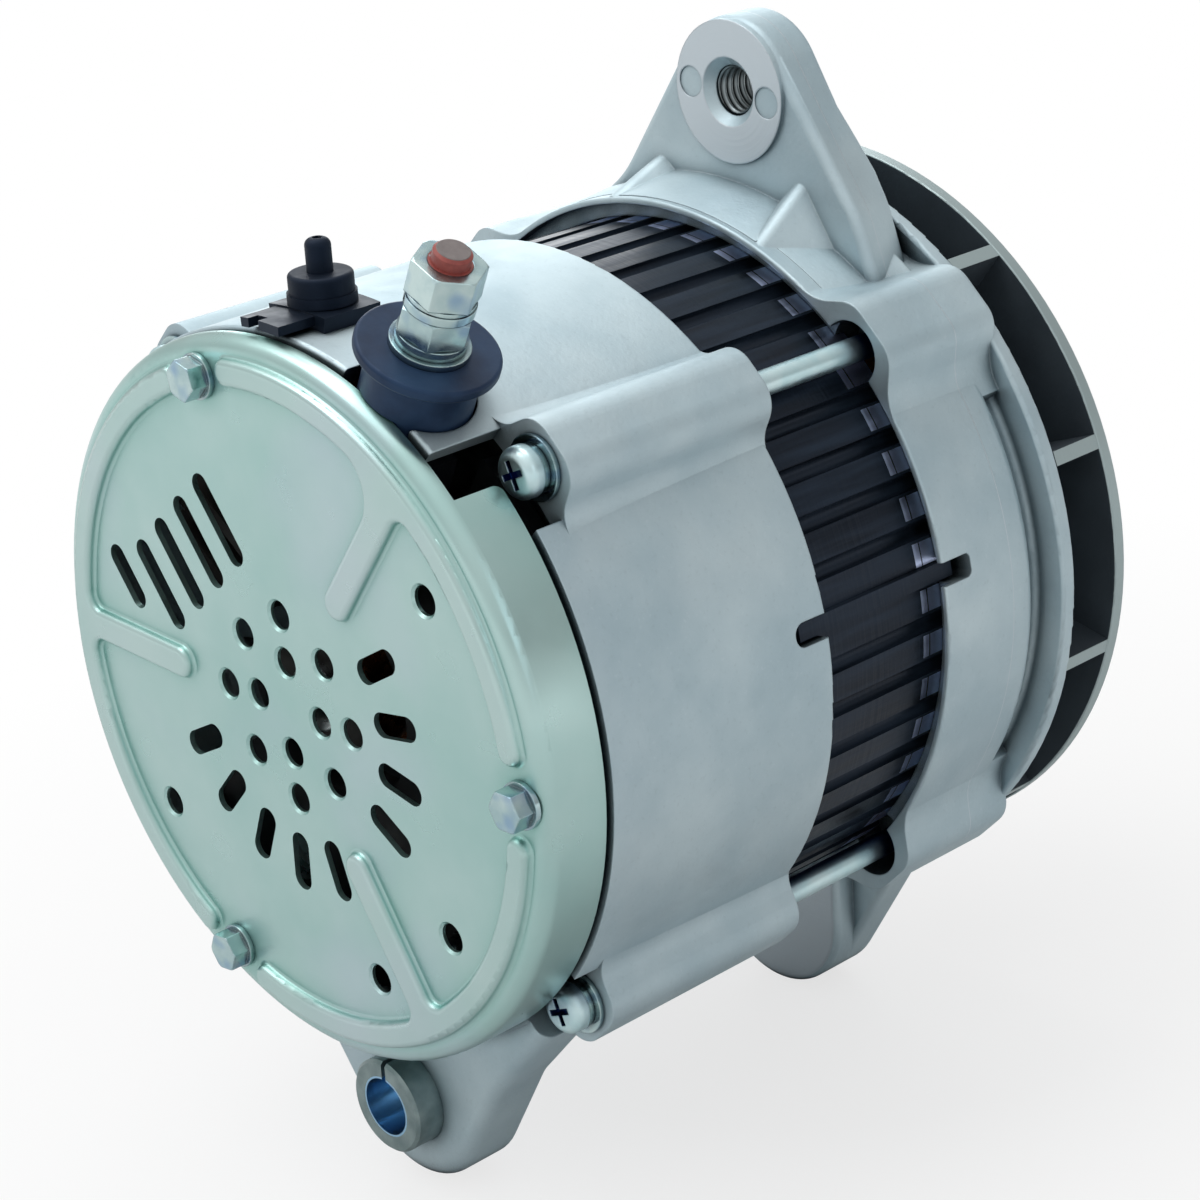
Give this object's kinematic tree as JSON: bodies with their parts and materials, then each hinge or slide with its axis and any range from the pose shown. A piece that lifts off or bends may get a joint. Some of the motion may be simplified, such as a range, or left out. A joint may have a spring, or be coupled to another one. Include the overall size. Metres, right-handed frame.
{
  "type": "alternator",
  "caption": "Heavy-duty vehicle alternator: two cast housings clamp a ribbed stator, with pivot feet, adjusting ear, vented rear cover, outside fan and pulley.",
  "frame": {"origin": "on the pivot bolt's axis, at the drive-end face of the front foot", "axes": "+Y runs along pivot bolt and shaft towards the fan and pulley, +Z from the pivot bolt to the shaft, +X to the right when looking along +Y at the rear cover"},
  "size_m": [0.1582, 0.2051, 0.2171],
  "materials": {
    "zinc_sheet": "pale passivated zinc on pressed sheet",
    "zinc_hardware": "bright zinc plate",
    "cast_aluminium": "fine as-cast",
    "core_paint": "satin black over steel sheets",
    "enamelled_copper": "varnished",
    "bush_steel": "turned",
    "bright_steel": "ground",
    "dark_steel": "forged, plain",
    "copper_ring": "turned and polished",
    "moulded_resin": "moulded",
    "fan_paint": "satin charcoal, rim turned bright",
    "pulley_steel": "turned, phosphated",
    "slate_insulator": "moulded",
    "black_rubber": "moulded",
    "heat_sink_aluminium": "stamped",
    "carbon": "sintered carbon",
    "spring_steel": "drawn"
  },
  "bodies": {
    "frame": {"rear_cover": "zinc_sheet", "cover_bolts": "zinc_hardware", "rear_housing": "cast_aluminium", "front_housing": "cast_aluminium", "through_bolts": "zinc_hardware", "through_bolt_spring_washers": "zinc_hardware", "through_bolt_flat_washers": "zinc_hardware", "stator_core": "core_paint", "stator_winding": "enamelled_copper", "rear_bearing_outer_ring": "bright_steel", "front_bearing_outer_ring": "bright_steel", "bearing_retainer": "dark_steel", "retainer_screws": "zinc_hardware", "output_stud": "zinc_hardware", "stud_insulator": "slate_insulator", "stud_washers": "zinc_hardware", "stud_spring_washers": "zinc_hardware", "stud_lower_nut": "zinc_hardware", "stud_upper_nut": "zinc_hardware", "terminal_tab": "moulded_resin", "terminal_post": "zinc_hardware", "terminal_cap": "black_rubber", "positive_heat_sink": "heat_sink_aluminium", "negative_heat_sink": "heat_sink_aluminium", "positive_diodes": "bright_steel", "negative_diodes": "bright_steel", "plate_spacers": "moulded_resin", "plate_sleeves": "moulded_resin", "plate_screws": "zinc_hardware", "regulator": "heat_sink_aluminium", "brush_holder": "moulded_resin", "rear_brush_spring": "spring_steel", "front_brush_spring": "spring_steel"},
    "rotor": {"rear_claw_pole": "dark_steel", "front_claw_pole": "dark_steel", "rotor_hub": "dark_steel", "field_coil": "enamelled_copper", "rotor_shaft": "bright_steel", "slip_ring_sleeve": "moulded_resin", "slip_rings": "copper_ring", "rear_bearing_inner_ring": "bright_steel", "front_bearing_inner_ring": "bright_steel", "front_spacer": "bright_steel", "fan": "fan_paint", "pulley": "pulley_steel", "shaft_washer": "zinc_hardware", "shaft_nut": "zinc_hardware"},
    "bush": {"foot_bush": "bush_steel"},
    "rear_ball_set": {"rear_bearing_balls": "bright_steel", "rear_bearing_cage": "spring_steel"},
    "front_ball_set": {"front_bearing_balls": "bright_steel", "front_bearing_cage": "spring_steel"},
    "rear_brush": {"rear_brush": "carbon"},
    "front_brush": {"front_brush": "carbon"}
  },
  "joints": [
    {"name": "rotor_spin", "type": "hinge", "parent": "frame", "child": "rotor", "pos_m": [0, -0.0757, 0.0889], "axis": [0, 1, 0], "continuous": true},
    {"name": "rear_balls_spin", "type": "hinge", "parent": "frame", "child": "rear_ball_set", "pos_m": [0, -0.0757, 0.0889], "axis": [0, 1, 0], "continuous": true},
    {"name": "front_balls_spin", "type": "hinge", "parent": "frame", "child": "front_ball_set", "pos_m": [0, -0.0757, 0.0889], "axis": [0, 1, 0], "continuous": true},
    {"name": "bush_slide", "type": "slide", "parent": "frame", "child": "bush", "axis": [0, 1, 0], "range_m": [-0.002, 0.005]},
    {"name": "rear_brush_slide", "type": "slide", "parent": "frame", "child": "rear_brush", "axis": [0, 0, 1], "range_m": [0, 0.005], "stiffness_N_per_m": 250, "springref_m": -0.012, "deforming": ["rear_brush_spring"]},
    {"name": "front_brush_slide", "type": "slide", "parent": "frame", "child": "front_brush", "axis": [0, 0, 1], "range_m": [0, 0.005], "stiffness_N_per_m": 250, "springref_m": -0.012, "deforming": ["front_brush_spring"]}
  ],
  "couplings": [
    {"joint": "rear_balls_spin", "follows": "rotor_spin", "ratio": 0.37895},
    {"joint": "front_balls_spin", "follows": "rotor_spin", "ratio": 0.37241}
  ]
}
